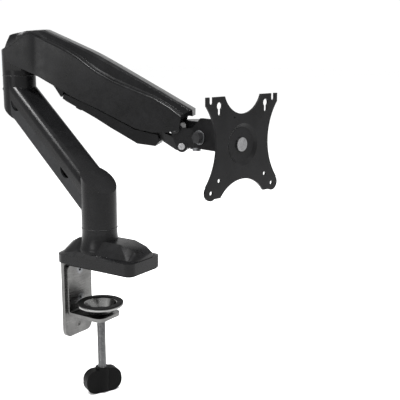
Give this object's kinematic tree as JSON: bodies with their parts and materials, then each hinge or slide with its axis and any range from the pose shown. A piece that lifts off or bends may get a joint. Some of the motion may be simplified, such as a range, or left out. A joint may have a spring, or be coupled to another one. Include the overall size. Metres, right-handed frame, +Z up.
{
  "type": "monitor arm",
  "caption": "Desk-clamp monitor arm: swivelling lower arm, gas-spring parallelogram upper arm and a tilting, turning square-pattern screen plate.",
  "frame": {"origin": "on the axis of the base post, at the underside of the pad that rests on the desk", "axes": "+Z up, +X to the right of someone facing the screen, +Y away from them, towards the back edge of the desk; the arm is in its resting pose"},
  "size_m": [0.1953, 0.3109, 0.4165],
  "materials": {
    "black_powder": "satin black powder coat",
    "black_steel": "satin black powder coat on steel sheet",
    "pad_rubber": "matt",
    "zinc_steel": "zinc plated",
    "post_steel": "turned",
    "pin_steel": "turned",
    "washer_plastic": "matt",
    "satin_steel": "satin nickel plated steel sheet",
    "spindle_steel": "zinc plated thread",
    "nylon": "black nylon",
    "cup_steel": "bright pressed steel",
    "knob_plastic": "matt black",
    "grey_plastic": "matt dark grey",
    "cover_plastic": "matt black",
    "spring_black": "gloss black",
    "rod_chrome": "polished",
    "link_steel": "black steel sheet",
    "bright_bolt": "bright nickel",
    "black_bolt": "black oxide"
  },
  "bodies": {
    "base": {"base_casting": "black_powder", "base_pad": "pad_rubber", "base_screws": "zinc_steel", "post": "post_steel", "post_bolt": "zinc_steel", "base_washer": "washer_plastic", "clamp_back_plate": "satin_steel", "clamp_l_bracket": "satin_steel", "clamp_screws": "zinc_steel", "spindle_nut": "zinc_steel"},
    "cup_seat": {"spindle_washer": "nylon"},
    "clamp_screw": {"clamp_spindle": "spindle_steel", "clamp_knob": "knob_plastic", "knob_pin": "zinc_steel"},
    "cup": {"pressure_cup": "cup_steel", "cup_rubber": "pad_rubber"},
    "lower_arm": {"lower_arm": "black_powder", "lower_cable_cover": "grey_plastic", "base_bushes": "nylon", "elbow_bush": "nylon", "elbow_washer": "washer_plastic"},
    "elbow": {"elbow_knuckle": "black_powder", "elbow_shaft": "post_steel", "elbow_retaining_washer": "zinc_steel", "elbow_bolt": "zinc_steel", "shell_pivot_pin": "pin_steel", "link_pivot_pin": "pin_steel", "spring_pin": "pin_steel"},
    "upper_arm": {"upper_arm_shell": "black_powder", "spring_anchor_pin": "pin_steel", "head_pivot_pin": "pin_steel", "pivot_spacers": "nylon"},
    "gas_spring": {"gas_cylinder": "spring_black"},
    "gas_spring_rod": {"gas_rod": "rod_chrome"},
    "link": {"lower_link": "link_steel", "upper_cable_cover": "cover_plastic", "cover_end_piece": "cover_plastic"},
    "head": {"head_knuckle": "black_powder", "head_link_bolt": "bright_bolt", "swivel_washer": "nylon"},
    "swivel": {"tilt_block": "black_powder", "swivel_bolt": "zinc_steel"},
    "tilt_head": {"tilt_bracket": "black_steel", "tilt_bolt": "black_bolt", "tilt_nut": "black_bolt", "tilt_washers": "zinc_steel"},
    "screen_mount": {"screen_plate": "black_steel", "plate_rivet": "bright_bolt", "rivet_washer": "zinc_steel"}
  },
  "joints": [
    {"name": "clamp_travel", "type": "slide", "parent": "base", "child": "cup_seat", "axis": [0, 0, 1], "range_m": [0, 0.042]},
    {"name": "knob_turn", "type": "hinge", "parent": "cup_seat", "child": "clamp_screw", "pos_m": [0, 0.0015, -0.1405], "axis": [0, 0, 1], "range_deg": [0, 10081]},
    {"name": "cup_turn", "type": "hinge", "parent": "cup_seat", "child": "cup", "pos_m": [0, 0.0015, -0.05705], "axis": [0, 0, 1], "continuous": true},
    {"name": "base_swivel", "type": "hinge", "parent": "base", "child": "lower_arm", "pos_m": [0, 0, 0.06], "axis": [0, 0, 1], "range_deg": [-167, 193]},
    {"name": "elbow_swivel", "type": "hinge", "parent": "lower_arm", "child": "elbow", "pos_m": [0.03599, 0.1559, 0.19], "axis": [0, 0, 1], "range_deg": [-26, 314]},
    {"name": "lift", "type": "hinge", "parent": "elbow", "child": "upper_arm", "pos_m": [0.03759, 0.15223, 0.241], "axis": [-0.9171, -0.3987, 0], "range_deg": [-4, 55]},
    {"name": "link_pivot", "type": "hinge", "parent": "elbow", "child": "link", "pos_m": [0.04078, 0.14489, 0.219], "axis": [-0.9171, -0.3987, 0], "range_deg": [-4, 55]},
    {"name": "head_level", "type": "hinge", "parent": "upper_arm", "child": "head", "pos_m": [0.11514, -0.02614, 0.1475], "axis": [-0.9171, -0.3987, 0], "range_deg": [-55, 4]},
    {"name": "spring_swing", "type": "hinge", "parent": "upper_arm", "child": "gas_spring", "pos_m": [0.0978, 0.01375, 0.181], "axis": [0.9171, 0.3987, 0], "range_deg": [-0.6, 0.6]},
    {"name": "rod_slide", "type": "slide", "parent": "gas_spring", "child": "gas_spring_rod", "axis": [-0.3795, 0.8729, 0.3066], "range_m": [-0.004, 0.0165]},
    {"name": "head_swivel", "type": "hinge", "parent": "head", "child": "swivel", "pos_m": [0.12451, -0.04769, 0.136], "axis": [0, 0, 1], "range_deg": [-28, 105]},
    {"name": "tilt", "type": "hinge", "parent": "swivel", "child": "tilt_head", "pos_m": [0.11944, -0.07115, 0.1385], "axis": [-0.9774, 0.2113, 0], "range_deg": [-30, 45]},
    {"name": "plate_rotation", "type": "hinge", "parent": "tilt_head", "child": "screen_mount", "pos_m": [0.10845, -0.12197, 0.1337], "axis": [-0.2113, -0.9774, 0], "continuous": true}
  ],
  "couplings": [
    {"joint": "knob_turn", "follows": "clamp_travel", "rad_per_m": 4188.8},
    {"joint": "link_pivot", "follows": "lift", "ratio": 1},
    {"joint": "head_level", "follows": "lift", "ratio": -1},
    {"joint": "spring_swing", "follows": "lift", "ratio": -0.00831},
    {"joint": "rod_slide", "follows": "lift", "m_per_rad": 0.011757}
  ]
}
